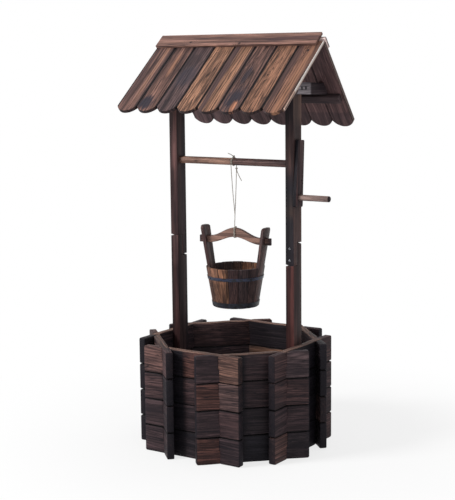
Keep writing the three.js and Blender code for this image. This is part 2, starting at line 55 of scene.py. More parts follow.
MIDDLE = -0.0195
AXLE_HEIGHT = 0.810
AXLE_RADIUS = 0.0103
POST_GAP = 0.366
POST_THICKNESS = 0.0254
POST_DEPTH = 0.044
BASE_APOTHEM = 0.2187
COURSE_PITCH = 0.0763
BOARD_LENGTH = 0.318
TIE_HEIGHT = 1.017
TIE_THICKNESS = 0.018
ROOF_LENGTH = 0.549
ROOF_BOARDS = 8
ROOF_BOARD_LENGTH = {"front": 0.2973, "back": 0.3049}
ROOF_BOARD_THICKNESS = 0.010
ROOF_BOARD_GAP = 0.0012
ROOF_BOARD_ROUND = 0.0026
LOBE_DEPTH = 0.0225
ROOF_PITCH = {"front": math.radians(40), "back": math.radians(52)}
APEX_HEIGHT = 1.1495
APEX_BEHIND = 0.0351
BUCKET_BOTTOM = 0.397
BUCKET_X = 0.0025
BUCKET_TURN = math.radians(6.5)
BUCKET_HEIGHT = 0.115
BUCKET_TOP_RADIUS = 0.0845
BUCKET_BOTTOM_RADIUS = 0.0650
BUCKET_TAPER = (BUCKET_TOP_RADIUS - BUCKET_BOTTOM_RADIUS) / BUCKET_HEIGHT
STAVE_THICKNESS = 0.009
STAVE_ROUND = 0.0011
PLAIN_STAVES = 7
EAR_SPAN = math.radians(26)
HOOP_THICKNESS = 0.0012
UPPER_HOOP_MIDDLE = 0.085
YOKE_THICKNESS = 0.012
YOKE_MIDDLE_HEIGHT = 0.0268
YOKE_MIDDLE = 0.2114
YOKE_BEVEL = 0.002
TWINE_RADIUS = 0.0012
AXLE_TURNS = 1.5
AXLE_WINDING_START = 0.0019
AXLE_WINDING_END = -0.0026
YOKE_TURNS = 1.5
YOKE_PITCH = 0.0031
SEAT = 0.0003

UP = Vector((0, 0, 1))

random.seed(7)


def add(name, data):
    """A new object in the scene."""
    made = bpy.data.objects.new(name, data)
    bpy.context.scene.collection.objects.link(made)
    return made


# Camera, at the photo's viewing angle

CAMERA_TURN = (33.61, 8.50, 0.60)  # azimuth, elevation and roll in degrees
CAMERA_AWAY = 3.635
CAMERA_TARGET_HEIGHT = 0.5569
CAMERA_TARGET_LEFT = 0.0205
CAMERA_LENS = 100.5
SENSOR_WIDTH = 36


def make_camera():
    azimuth, elevation, roll = (math.radians(a) for a in CAMERA_TURN)
    away = Vector((
        math.sin(azimuth) * math.cos(elevation),
        -math.cos(azimuth) * math.cos(elevation),
        math.sin(elevation),
    ))
    level = Vector((math.cos(azimuth), math.sin(azimuth), 0))
    upright = away.cross(level)
    target = Vector((MIDDLE, 0, CAMERA_TARGET_HEIGHT)) - level * CAMERA_TARGET_LEFT
    right = level * math.cos(roll) - upright * math.sin(roll)
    up = level * math.sin(roll) + upright * math.cos(roll)
    data = bpy.data.cameras.new("camera")
    data.sensor_fit = "HORIZONTAL"
    data.sensor_width = SENSOR_WIDTH
    data.lens = CAMERA_LENS
    data.clip_end = 50
    camera = add("camera", data)
    turn = Matrix((right, up, away)).transposed().to_4x4()
    camera.matrix_world = Matrix.Translation(target + away * CAMERA_AWAY) @ turn
    bpy.context.scene.camera = camera


make_camera()


# Shader helpers

class Shader:
    """A material's node tree with short calls for the nodes that the woods share."""

    def __init__(self, name):
        self.material = bpy.data.materials.new(name)
        self.material.use_nodes = True
        self.tree = self.material.node_tree
        self.shader = self.tree.nodes["Principled BSDF"]

    def put(self, socket, value):
        if isinstance(value, bpy.types.NodeSocket):
            self.tree.links.new(value, socket)
        else:
            socket.default_value = value

    def fill(self, node, inputs):
        """Gives a node's inputs numbers or other nodes' outputs."""
        for key, value in inputs.items():
            self.put(node.inputs[key], value)
        return node

    def node(self, kind, inputs=None, **settings):
        made = self.tree.nodes.new("ShaderNode" + kind)
        for key, value in settings.items():
            setattr(made, key, value)
        return self.fill(made, inputs or {})

    def math(self, operation, first, second=0.0, clamp=False):
        made = self.node("Math", {0: first, 1: second}, operation=operation, use_clamp=clamp)
        return made.outputs[0]

    def vector(self, operation, first, second=(0, 0, 0)):
        made = self.node("VectorMath", {0: first, 1: second}, operation=operation)
        return made.outputs["Value" if operation == "LENGTH" else "Vector"]

    def scale(self, first, share):
        made = self.node("VectorMath", {0: first, "Scale": share}, operation="SCALE")
        return made.outputs["Vector"]

    def part(self, vector, axis):
        return self.node("SeparateXYZ", {0: vector}).outputs[axis]

    def attribute(self, name):
        return self.node("Attribute", attribute_name=name).outputs["Vector"]

    def sway(self, value, reach):
        """A noise value as a shift to both sides of zero."""
        return self.math("MULTIPLY", self.math("SUBTRACT", value, 0.5), reach)

    def distance(self, board, x, y, along, across):
        """How far a place on the board is from x, y, with each direction scaled."""
        apart = self.vector("SUBTRACT", board, (x, y, 0))
        return self.vector("LENGTH", self.vector("MULTIPLY", apart, (along, across, 0)))

    def noise(self, where, scale, detail=2.0, rough=0.5, shift=None):
        if shift:
            where = self.vector("ADD", where, shift)
        where = self.vector("MULTIPLY", where, scale)
        look = {"Vector": where, "Scale": 1, "Detail": detail, "Roughness": rough}
        return self.node("TexNoise", look).outputs["Fac"]

    def between(self, value, low, high, from_value=0.0, to_value=1.0):
        limits = {"Value": value, "From Min": low, "From Max": high, "To Min": from_value,
                  "To Max": to_value}
        return self.node("MapRange", limits, interpolation_type="SMOOTHSTEP").outputs[0]

    def mix(self, share, first, second):
        made = self.node("Mix", data_type="RGBA")
        for key, value in (("Factor", share), ("A", first), ("B", second)):
            socket = next(i for i in made.inputs if i.name == key and i.enabled)
            self.put(socket, value)
        return next(o for o in made.outputs if o.enabled)

    def ramp(self, value, stops):
        made = self.node("ValToRGB")
        elements = made.color_ramp.elements
        while len(elements) < len(stops):
            elements.new(0.5)
        for element, (place, level) in zip(elements, stops):
            element.position = place
            element.color = (level, level, level, 1)
        return self.fill(made, {"Fac": value}).outputs["Color"]

    def finish(self, inputs, height=None, strength=1.0, distance=1.0):
        """Fills in the surface, with a bump where it has a height."""
        self.fill(self.shader, inputs)
        if height is not None:
            bump = {"Strength": strength, "Distance": distance, "Height": height}
            self.put(self.shader.inputs["Normal"], self.node("Bump", bump).outputs[0])
        return self.material


def linear(value):
    value = max(value, 0) / 255
    return value / 12.92 if value <= 0.04045 else ((value + 0.055) / 1.055) ** 2.4


def colour(red, green, blue):
    """A display colour from 0 to 255 as Blender's linear one."""
    return (linear(red), linear(green), linear(blue), 1)


SCORCH = (22, 20, 26)
RIM_SHADE = (20, 17, 20)
END_DEPTH = 0.003
SEAM_SHADE = (14, 12, 15)
SEAM_HALF_WIDTHS = (0.0010, 0.0042)
SEAM_WAVE = 0.007


def scaled(shade, share):
    return [value * share for value in shade]


def wood(name, ring=0.0080, contrast=0.85, warp=0.4, burnt=0.3, fibre=0.5, spread=0.5,
         stains=(), knots=(), rim=None, ends=None, seams=False, duty=0.5, shine=0.55, bump=0.5):
    """Charred softwood. The tone attribute is the wood's middle colour. The grain attribute is a
    place in the log, with its pith along X; the board attribute is a place on the board, with its
    middle line along X, both in metres. ring is the rings' spacing, contrast and duty are the
    strength and share of the dark late wood, warp bends the grain and burnt adds charred patches.
    A stain is (x, y, reach along, reach across, colour, share), a knot is (x, y, radius). rim is
    (half width, depth, share) of the darkening along the long edges and can name one side. ends is
    the half length at which the end grain is black, seams darkens the joints of the courses."""
    s = Shader(name)
    grain = s.attribute("grain")
    board = s.attribute("board")
    tone = s.attribute("tone")
    slow = s.noise(grain, (4, 16, 16), 2)
    slower = s.noise(grain, (5, 20, 20), 2, shift=(3.1, 5.7, 1.9))
    sways = {"Y": s.sway(slow, 0.030 * warp), "Z": s.sway(slower, 0.030 * warp)}
    drift = s.node("CombineXYZ", sways)
    flat = s.vector("MULTIPLY", s.vector("ADD", grain, drift.outputs[0]), (0, 1, 1))
    rings = s.math("DIVIDE", s.vector("LENGTH", flat), ring)
    wobble = s.noise(grain, (24, 150, 150), 2)
    rings = s.math("ADD", rings, s.math("MULTIPLY", wobble, warp * 1.3))
    for x, y, radius in knots:
        near = s.between(s.distance(board, x, y, 0.5, 1), 0, radius * 3.5, 1, 0)
        rings = s.math("ADD", rings, s.math("MULTIPLY", near, 4.0))
    line = s.ramp(s.math("FRACT", rings), [
        (0.0, 0.30), (0.10, 0.0), (duty * 0.8, 0.10), (duty + 0.24, 1.0), (0.95, 0.85), (1.0, 0.45),
    ])
    fibres = s.noise(grain, (22, 1400, 1400), 3, 0.6)
    strands = s.noise(grain, (6, 300, 300), 3, 0.6, shift=(0.7, 0.2, 0.4))
    broad = s.noise(grain, (3, 60, 60), 3, 0.55, shift=(2.4, 8.1, 6.6))
    patches = s.noise(grain, (8, 26, 26), 4, 0.55, shift=(9.2, 3.3, 4.8))
    pale = s.vector("MULTIPLY", tone, [1 + spread * share for share in (1.3, 1.2, 1.1)])
    dull = s.vector("MULTIPLY", tone, [1 - spread * share for share in (0.85, 0.85, 0.78)])
    shade = s.mix(s.between(broad, 0.36, 0.64), dull, pale)
    late = s.mix(0.4, s.scale(tone, 0.14), colour(*SCORCH))
    uneven = s.noise(grain, (5, 110, 110), 2, 0.5, shift=(6.1, 1.3, 7.4))
    line = s.math("MULTIPLY", line, s.between(uneven, 0.36, 0.60, 0.18, 1.0))
    shade = s.mix(s.math("MULTIPLY", line, contrast), shade, late)
    shade = s.mix(s.between(strands, 0.56, 0.36, 0, fibre), shade, late)
    shade = s.mix(s.between(fibres, 0.45, 0.72, 0, fibre * 0.8), shade, late)
    shade = s.mix(s.between(strands, 0.56, 0.70, 0, fibre * 0.8), shade, s.scale(pale, 1.25))
    thin = s.noise(grain, (2.2, 90, 90), 2, 0.5, shift=(4.4, 9.6, 2.7))
    hairs = s.math("ABSOLUTE", s.math("SUBTRACT", thin, 0.5))
    shade = s.mix(s.between(hairs, 0.004, 0.022, fibre * 1.3, 0), shade, colour(*SCORCH))
    burn = s.math("MULTIPLY", s.between(patches, 0.46, 0.66), burnt * 1.7, clamp=True)
    shade = s.mix(burn, shade, s.mix(0.25, colour(*SCORCH), tone))
    for x, y, along, across, tint, share in stains:
        apart = s.distance(board, x, y, 1 / along, 1 / across)
        ragged = s.math("ADD", s.math("ADD", apart, s.sway(strands, 1.6)), s.sway(slow, 1.2))
        near = s.between(ragged, 0.55, 1.15, share, 0)
        tinted = s.mix(s.math("MULTIPLY", line, contrast * 0.7), colour(*tint), late)
        shade = s.mix(near, shade, tinted)
    for x, y, radius in knots:
        near = s.between(s.distance(board, x, y, 0.8, 1), radius * 0.55, radius * 1.1, 0.9, 0)
        shade = s.mix(near, shade, colour(*SCORCH))
    if rim:
        half, depth, share, *only = rim
        across = s.part(board, "Y")
        across = s.math("MULTIPLY", across, *only) if only else s.math("ABSOLUTE", across)
        near = s.between(across, half - depth, half - depth * 0.3, 0, share)
        shade = s.mix(near, shade, colour(*RIM_SHADE))
    # Where the tone is very pale, as on the painted highlight of a raw roof edge, the tone is kept
    # without grain.
    shade = s.mix(s.between(s.part(tone, "X"), 0.50, 0.68), shade, tone)
    if ends:
        reach = s.math("ABSOLUTE", s.part(board, "X"))
        near = s.between(reach, ends - END_DEPTH, ends - END_DEPTH * 0.4, 0, 0.85)
        shade = s.mix(near, shade, colour(*SCORCH))
    if seams:
        height = s.part(s.node("TexCoord").outputs["Object"], "Z")
        course = s.math("ADD", s.math("DIVIDE", height, COURSE_PITCH), 0.5)
        apart = s.math("SUBTRACT", s.math("FRACT", course), 0.5)
        apart = s.math("MULTIPLY", s.math("ABSOLUTE", apart), COURSE_PITCH)
        apart = s.math("ADD", apart, s.sway(slow, SEAM_WAVE))
        low = s.between(height, COURSE_PITCH * 3.5, COURSE_PITCH * 3.6, 1, 0)
        near = s.math("MULTIPLY", s.between(apart, *SEAM_HALF_WIDTHS, 0.96, 0), low)
        shade = s.mix(near, shade, colour(*SEAM_SHADE))
    gloss = s.math("ADD", s.math("MULTIPLY", line, -0.10), shine + 0.06)
    gloss = s.math("ADD", gloss, s.math("MULTIPLY", fibres, 0.12))
    height = s.math("ADD", s.math("MULTIPLY", line, -0.00045), s.math("MULTIPLY", fibres, 0.00022))
    height = s.math("ADD", height, s.math("MULTIPLY", strands, 0.00060))
    look = {"Base Color": shade, "Roughness": gloss, "Specular IOR Level": 0.12}
    return s.finish(look, height, bump)


# Mesh helpers

def finished(work, name):
    """The bmesh as a mesh, with its normals outwards."""
    bmesh.ops.recalc_face_normals(work, faces=work.faces)
    mesh = bpy.data.meshes.new(name)
    work.to_mesh(mesh)
    work.free()
    return mesh


def skin(work, rings):
    """Faces between rings of vertices and over both ends."""
    for before, after in zip(rings, rings[1:]):
        for k in range(len(before)):
            ahead = (k + 1) % len(before)
            work.faces.new((before[k], before[ahead], after[ahead], after[k]))
    work.faces.new(rings[0][::-1])
    work.faces.new(rings[-1])


def round_over(work, edges, width, segments):
    bmesh.ops.bevel(work, geom=edges, offset=width, segments=segments, profile=0.5, affect="EDGES",
                    clamp_overlap=True)


def link(name, mesh, body, material, smooth=35):
    """Makes the mesh a piece that rides on a body, with rounded edges shaded smooth."""
    mesh.name = name
    piece = add(name, mesh)
    mesh.shade_smooth()
    mesh.set_sharp_from_angle(angle=math.radians(smooth))
    mesh.materials.clear()
    mesh.materials.append(material)
    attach(piece, body)
    return piece


def place_grain(mesh, origin, along, across, tone, pith=(0.0, 0.03), slope=0.0, skew=0.0, start=0.0,
                edge_wear_and_highlight=0.0, flip=1):
    """Writes each vertex's place on the board, its place in the log and its colour. pith is how far
    the pith lies from the board's middle line, across it and through it; slope and skew tilt the
    log to the board. tone is a display colour, or a function of the place on the board and the
    normal there that gives one. The edge share lightens the rounded edges, both as wear and as a
    painted highlight."""
    along, across = Vector(along).normalized(), Vector(across).normalized()
    through = along.cross(across)
    board = mesh.attributes.new("board", "FLOAT_VECTOR", "POINT")
    grain = mesh.attributes.new("grain", "FLOAT_VECTOR", "POINT")
    tint = mesh.attributes.new("tone", "FLOAT_VECTOR", "POINT")
    for vertex in mesh.vertices:
        offset = vertex.co - Vector(origin)
        u, v, w = offset.dot(along), offset.dot(across), offset.dot(through)
        normal = Vector([vertex.normal.dot(axis) for axis in (along, across, through)])
        here = tone(u, v, w, normal) if callable(tone) else tone
        # Mid-bevel vertices are lightened: edge wear and a painted highlight along the rounded
        # edges.
        worn = 1 + edge_wear_and_highlight if max(abs(c) for c in normal) < 0.87 else 1
        board.data[vertex.index].vector = (u, v, w)
        place = (u * flip + start, v - pith[0] + u * skew, w + pith[1] + u * slope)
        grain.data[vertex.index].vector = place
        tint.data[vertex.index].vector = [linear(c) * worn for c in here]


def eased(node, width, segments=2, sharp=25):
    """A copy of a CAD node's mesh with its edges rounded over."""
    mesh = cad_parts[node].data.copy()
    work = bmesh.new()
    work.from_mesh(mesh)
    bmesh.ops.remove_doubles(work, verts=work.verts, dist=1e-6)
    bmesh.ops.dissolve_limit(work, angle_limit=math.radians(1), verts=work.verts, edges=work.edges)
    corner = math.radians(sharp)
    edges = [e for e in work.edges if len(e.link_faces) == 2 and e.calc_face_angle(0) > corner]
    round_over(work, edges, width, segments)
    bmesh.ops.triangulate(work, faces=[f for f in work.faces if len(f.verts) > 4])
    work.to_mesh(mesh)
    work.free()
    return mesh


def slab(front, back, width, segments):
    """A closed mesh between two grids of places, with its sharp edges rounded over."""
    work = bmesh.new()
    one, two = ([[work.verts.new(place) for place in column] for column in grid]
                for grid in (front, back))
    last, rows = len(one) - 1, len(one[0]) - 1
    for c in range(last):
        for r in range(rows):
            work.faces.new((one[c][r], one[c][r + 1], one[c + 1][r + 1], one[c + 1][r]))
            work.faces.new((two[c][r], two[c + 1][r], two[c + 1][r + 1], two[c][r + 1]))
        work.faces.new((one[c][0], one[c + 1][0], two[c + 1][0], two[c][0]))
        work.faces.new((one[c][rows], two[c][rows], two[c + 1][rows], one[c + 1][rows]))
    for r in range(rows):
        work.faces.new((one[0][r], two[0][r], two[0][r + 1], one[0][r + 1]))
        work.faces.new((one[last][r], one[last][r + 1], two[last][r + 1], two[last][r]))
    bmesh.ops.recalc_face_normals(work, faces=work.faces)
    edges = [e for e in work.edges if e.calc_face_angle(0) > math.radians(50)]
    round_over(work, edges, width, segments)
    return finished(work, "slab")


def box_middle(node):
    low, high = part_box(node)
    return [(a + b) / 2 for a, b in zip(low, high)]


def sliced(mesh, origin, along, places):
    """Cuts the mesh across at each distance along it, so that its colour and edges can vary."""
    work = bmesh.new()
    work.from_mesh(mesh)
    for place in places:
        bmesh.ops.bisect_plane(work, geom=work.verts[:] + work.edges[:] + work.faces[:],
                               plane_co=Vector(origin) + Vector(along) * place, plane_no=along)
    work.to_mesh(mesh)
    work.free()


# Base boards. A board has the tones of its left end, its middle and its right end.

SIDES = ["right", "back_right", "back", "back_left", "left", "front_left", "front", "front_right"]
TONES = {
    "ochre": (120, 90, 80), "tan": (92, 69, 66), "rust": (102, 68, 58), "russet": (82, 56, 52),
    "umber": (92, 72, 70), "walnut": (74, 56, 57), "mauve": (82, 68, 71), "plum": (62, 49, 52),
    "char": (48, 41, 45), "slate": (42, 42, 52), "soot": (32, 30, 36), "flax": (128, 96, 80),
}
BASE_TONES = {
    (4, "front"): "tan russet ochre", (3, "front"): "walnut walnut umber",
    (2, "front"): "plum plum walnut", (1, "front"): "plum char plum",
    (4, "front_right"): "plum plum mauve", (3, "front_right"): "russet plum walnut",
    (2, "front_right"): "plum char plum", (1, "front_right"): "russet soot char",
    (4, "right"): "walnut umber walnut", (3, "right"): "walnut walnut plum",
    (2, "right"): "plum walnut plum", (1, "right"): "tan tan walnut",
    (4, "back_right"): "char plum char", (3, "back_right"): "char plum char",
    (4, "back"): "plum char plum", (3, "back"): "flax flax umber",
    (4, "front_left"): "umber umber walnut", (4, "left"): "char plum char",
}
# Places along a board: where its spikes begin, over what length its tone changes there, how far its
# top is worn, and the shaded stretch beside the spike of its neighbour, which ends side by side.
SPIKE_START = 0.078
SPIKE_FADE = 0.014
WORN_UNTIL = 0.1
DARK_FROM = -0.085
DARK_UNTIL = {"front": -0.026, "front_right": -0.024, "right": 0.080}
SPARE_TONES = ["walnut plum walnut", "plum plum char", "char char plum", "russet walnut plum",
               "umber walnut plum"]
WORN_TOP = (124, 98, 88)
SHADED = (24, 21, 26)
BASE_ROUND = 0.0022
BASE_HEWN = 0.0012
BASE_SLICE = 0.0135


def hewn(mesh, origin, along, seed):
    """Wears a board's long edges back unevenly, so that the seams run a little wavy."""
    for vertex in mesh.vertices:
        offset = vertex.co - origin
        if abs(offset.z) > COURSE_PITCH / 2 - 0.004:
            side = 1 if offset.z > 0 else -1
            bite = 0.5 + noise.noise(Vector((offset.dot(along) * 22, side * 3.7 + seed, 0.5)))
            vertex.co.z -= side * BASE_HEWN * min(max(bite, 0), 1)


def board_tone(tones, dark_until, worn):
    def tone(u, v, w, normal):
        if worn and normal.y > 0.7 and abs(u) < WORN_UNTIL:
            return WORN_TOP
        if DARK_FROM < u < dark_until and w > 0:
            return SHADED
        share = min(max(abs(u) - SPIKE_START, 0) / SPIKE_FADE, 1)
        return [m + (e - m) * share for m, e in zip(tones[1], tones[0] if u < 0 else tones[2])]
    return tone


def make_base():
    both = dict(ends=BOARD_LENGTH / 2, seams=True, bump=0.8)
    fine = wood("base_fine", ring=0.0066, contrast=0.7, warp=0.4, burnt=0.3, fibre=0.6, **both)
    bold = wood("base_bold", ring=0.0085, contrast=0.75, warp=0.7, burnt=0.35, **both)
    for index, side in enumerate(SIDES):
        facing = index * math.pi / 4
        outward = Vector((math.cos(facing), math.sin(facing), 0))
        along = Vector((-outward.y, outward.x, 0))
        for course in range(1, 5):
            node = f"course_{course}_{side}_board"
            mesh = eased(node, BASE_ROUND)
            middle = Vector((MIDDLE, 0, box_middle(node)[2])) + outward * BASE_APOTHEM
            sliced(mesh, middle, along, [step * BASE_SLICE for step in range(-11, 12)])
            hewn(mesh, middle, along, course * 5.3 + index)
            names = BASE_TONES.get((course, side)) or random.choice(SPARE_TONES)
            tones = [TONES[name] for name in names.split()]
            tone = board_tone(tones, DARK_UNTIL.get(side, DARK_FROM), course == 4)
            straight = random.random() < 0.7
            if straight:
                across = random.uniform(0.05, 0.12) * random.choice((-1, 1))
                pith = (across, random.uniform(0.01, 0.05))
            else:
                pith = (random.uniform(-0.03, 0.03), random.uniform(0.02, 0.05))
            place_grain(mesh, middle, along, UP, tone, pith,
                        slope=random.uniform(-0.08, 0.08), skew=random.uniform(-0.06, 0.06),
                        start=random.uniform(0, 40), edge_wear_and_highlight=0.5, flip=random.choice((-1, 1)))
            grain = fine if straight else bold
            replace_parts(link(f"board_{course}_{side}", mesh, "well", grain), node)


make_base()


# Posts, with the screws of their laps

NAVY = (40, 40, 50)
POST_ROUND = 0.0014
LAP_SCREW_HEIGHTS = (0.544, 0.577)
LAP_SCREW_RADIUS = 0.0032
SCREW_PROUD = 0.0004
SCREW_PROFILE = ((1.0, -0.4), (1.0, 0.0), (0.82, 0.12), (0.5, 0.16))  # shares of its radius
POST_SLICES = [0.49, 0.51, 0.528, 0.540, 0.62, 0.65, 0.676, 0.70, 0.74, 0.775, 0.81, 0.85, 0.88,
               0.91, 0.94, 0.96]
# The tone of the right post's front face up to each height; the last, up under the roof, is painted
# shadow of the roof.
RIGHT_POST_TONES = [
    (0.528, (74, 45, 43)), (0.540, (34, 31, 36)), (0.650, (34, 32, 36)), (0.676, (50, 40, 38)),
    (0.700, (40, 35, 36)), (0.740, (29, 27, 32)), (0.775, (40, 32, 35)), (0.810, (58, 43, 41)),
    (0.850, (56, 41, 40)), (0.880, (68, 52, 51)), (0.910, (54, 42, 43)), (1.100, (40, 33, 36)),
]


def screw(name, place, outward, radius, body, material):
    """A countersunk screw head with a cross recess, its face towards outward."""
    work = bmesh.new()
    steps = 24
    rings = []
    for share, depth in SCREW_PROFILE:
        ring = []
        for step in range(steps):
            angle = 2 * math.pi * step / steps
            arm = 0.62 if (share == 0.5 and step % 6 in (0, 1, 5)) else 1.0
            ring.append(work.verts.new((radius * share * arm * math.cos(angle),
                                        radius * share * arm * math.sin(angle), radius * depth)))
        rings.append(ring)
    rings.append([work.verts.new((v.co.x * 0.6, v.co.y * 0.6, radius * -0.25)) for v in rings[-1]])
    skin(work, rings)
    mesh = finished(work, name)
    turn = Vector(outward).to_track_quat("Z", "X").to_matrix().to_4x4()
    mesh.transform(Matrix.Translation(place) @ turn)
    return link(name, mesh, body, material, smooth=30)


def metal(name, light, dark, rough, metallic):
    s = Shader(name)
    where = s.node("TexCoord").outputs["Object"]
    worn = s.noise(where, (90, 90, 260), 3, 0.6)
    shade = s.mix(s.between(worn, 0.4, 0.62), colour(*dark), colour(*light))
    gloss = s.between(worn, 0.35, 0.7, rough - 0.1, rough + 0.1)
    return s.finish({"Base Color": shade, "Roughness": gloss, "Metallic": metallic})


def right_post_tone(u, v, w, normal):
    if normal.z > 0.6:
        shade = next(shade for top, shade in RIGHT_POST_TONES if u < top + 0.001)
        # The half towards +X is lighter and the other darker: a painted highlight on the arris and
        # painted shade.
        return scaled(shade, 0.8 if v > 0 else 1.1)
    if u > 0.93:
        return (112, 90, 82)
    return scaled((80, 60, 58) if u > 0.62 else (68, 50, 49), 1.0 if w > 0 else 0.82)


def left_post_tone(u, v, w, normal):
    if normal.z > 0.6:
        shade = (80, 56, 52) if u > 0.95 else ((50, 32, 32) if u < 0.5 else (70, 50, 49))
        # The half towards +X is lighter and the other darker: a painted highlight on the arris and
        # painted shade.
        return scaled(shade, 0.80 if v > 0 else 1.22)
    return (66, 51, 51) if w > 0 else (52, 43, 46)


def make_posts():
    grain = wood("post", ring=0.0050, contrast=0.6, warp=0.35, burnt=0.2, fibre=0.3, shine=0.45)
    steel = metal("screw_steel", (150, 150, 155), (52, 52, 58), 0.4, 0.8)
    for side, sign, tone in (("right", 1, right_post_tone), ("left", -1, left_post_tone)):
        middle = MIDDLE + sign * (POST_GAP + POST_THICKNESS) / 2
        for part in ("lower", "upper"):
            node = f"{side}_post_{part}"
            mesh = eased(node, POST_ROUND)
            sliced(mesh, (0, 0, 0), UP, POST_SLICES)
            pith = (random.uniform(-0.01, 0.01), 0.05)
            place_grain(mesh, (middle, 0, 0), UP, (-1, 0, 0), tone, pith,
                        slope=random.uniform(-0.02, 0.02), start=random.uniform(0, 40), edge_wear_and_highlight=0.45)
            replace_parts(link(f"post_{side}_{part}", mesh, "well", grain), node)
        for number, height in enumerate(LAP_SCREW_HEIGHTS):
            place = (middle, -sign * (POST_DEPTH / 2 + SCREW_PROUD), height)
            screw(f"lap_screw_{side}_{number + 1}", place, (0, -sign, 0), LAP_SCREW_RADIUS,
                  "well", steel)


make_posts()


# Roof

def slope_frame(side):
    apex = Matrix.Translation((MIDDLE, APEX_BEHIND, APEX_HEIGHT))
    turn = Matrix.Rotation(math.pi if side == "back" else 0, 4, "Z")
    return apex @ turn @ Matrix.Rotation(ROOF_PITCH[side], 4, "X")


def roof_board(index, side):
    """One round-ended board in its slope's frame, its top face at Z = 0 and its end down -Y."""
    pitch_width = ROOF_LENGTH / ROOF_BOARDS
    half = pitch_width / 2 - ROOF_BOARD_GAP / 2
    middle = -ROOF_LENGTH / 2 + (index + 0.5) * pitch_width
    length = ROOF_BOARD_LENGTH[side]
    radius = (pitch_width ** 2 / 4 + LOBE_DEPTH ** 2) / (2 * LOBE_DEPTH)
    start = ROOF_BOARD_THICKNESS * math.tan(ROOF_PITCH[side]) + SEAT
    rows, columns = 48, 14
    top, under = [], []
    for c in range(columns + 1):
        v = half * math.sin(math.pi / 2 * (2 * c / columns - 1))
        end = length - radius + math.sqrt(radius ** 2 - v ** 2)
        reach = [start + (end - start) * (1 - (1 - r / rows) ** 1.15) for r in range(rows + 1)]
        top.append([(middle + v, -u, 0) for u in reach])
        under.append([(middle + v, -u, -ROOF_BOARD_THICKNESS) for u in reach])
    mesh = slab(top, under, ROOF_BOARD_ROUND, 3)
    mesh.transform(slope_frame(side))
    return mesh, middle


ORANGE = (150, 108, 86)
FRONT_ROOF = [
    dict(tone=(104, 79, 73), stains=[(0.10, 0.012, 0.2, 0.007, (150, 112, 94), 0.8),
                                     (0.02, -0.02, 0.16, 0.010, (78, 60, 60), 0.7)]),
    dict(tone=(114, 86, 78), stains=[(-0.115, -0.006, 0.030, 0.020, NAVY, 0.95),
                                     (0.06, 0.0, 0.06, 0.010, ORANGE, 0.6)]),
    dict(tone=(84, 68, 68), burnt=0.45, stains=[(0.0, 0.0, 0.05, 0.03, (54, 50, 58), 0.7)]),
    dict(tone=(138, 103, 84), warp=0.25, burnt=0.05,
         knots=[(0.121, -0.012, 0.004), (0.124, 0.012, 0.003)]),
    dict(tone=(142, 106, 86), burnt=0.1, stains=[(0.02, -0.021, 0.3, 0.012, (74, 58, 60), 0.9),
                                                 (0.0, 0.028, 0.3, 0.007, (84, 64, 60), 0.8)]),
    dict(tone=(106, 80, 73), warp=0.3, burnt=0.2,
         stains=[(-0.10, 0, 0.06, 0.026, NAVY, 0.9), (0.0, -0.006, 0.04, 0.010, NAVY, 0.7),
                 (-0.125, 0.010, 0.025, 0.010, (180, 124, 98), 0.95)]),
    dict(tone=(138, 101, 82), warp=0.3, burnt=0.03, knots=[(0.0, -0.008, 0.003)]),
    dict(tone=(114, 83, 70), burnt=0.15, knots=[(0.10, 0.004, 0.004)],
         stains=[(-0.06, 0.012, 0.2, 0.010, ORANGE, 0.8),
                 (0.02, -0.022, 0.2, 0.009, (80, 60, 58), 0.8)]),
]
# Where the pith of each front board lies, and its slope
LOG = [
    ((0.070, 0.030), 0.02), ((-0.060, 0.045), 0.03), ((0.05, 0.020), 0.03),
    ((0.004, 0.013), 0.075), ((-0.075, 0.030), 0.02), ((0.008, 0.012), 0.065),
    ((-0.004, 0.013), 0.060), ((0.064, 0.026), 0.03),
]
ROOF_EDGE_FROM = 0.0337  # from a board's middle line, where its dark rim ends
BACK_TONES = [(84, 60, 56), (78, 56, 54), (92, 64, 58), (72, 54, 54)]
# Dark end grain of the roof lobes, deepened as painted shade under them.
END_GRAIN_AND_UNDER_SHADE = (50, 38, 38)
CAP_ROUND = 0.0012
CAP_MIDDLE = (0, -0.012, 0)
BATTEN_ROUND = 0.0018
BATTEN_MIDDLE = (0, -0.19, -0.02)
TIE_ROUND = 0.0015
# Cuts along the tie where its painted light gives way to painted shadow.
TIE_SLICES = [0.030, 0.038, 0.046, 0.056]
TIE_SCREW_PLACES = (-0.006, 0.0155)
TIE_SCREW_RADIUS = 0.0052


def roof_tone(shade, bare_and_lit_edge):
    """The tones of one roof board. The edge flag is 1 or -1 where a long edge is raw wood, pale
    with a painted highlight, or 0.
    """
    def tone(u, v, w, normal):
        # A raw long edge is painted near white, lightest on the top half of its thickness: pale
        # wood and a painted highlight.
        if normal.y * bare_and_lit_edge > 0.8:
            if w > ROOF_BOARD_THICKNESS / 2:
                return (164, 142, 134)
            if bare_and_lit_edge < 0:
                return (190, 168, 164)
            return (252, 246, 240) if u > -0.06 else (222, 188, 170)
        if normal.z > 0.6:
            return (104, 80, 80) if u > -0.10 else (86, 68, 70)
        # The down-facing end and its rounding are dark: darker end grain and painted shade under
        # the lobe.
        if normal.x < -0.3:
            return END_GRAIN_AND_UNDER_SHADE if normal.x < -0.6 else scaled(shade, 0.6)
        return shade
    return tone


def back_cap_tone(u, v, w, normal):
    # Its end is half pale, raw wood with a painted highlight, and half near black as painted shade.
    if u < -0.26:
        return (26, 20, 24) if w < -0.0045 else (222, 200, 196)
    return (136, 104, 94)


# The tie's front is painted light and the rest painted shadow of the roof.
def tie_tone(u, v, w, normal):
    return (138, 132, 138) if u < 0.043 else (50, 42, 46)


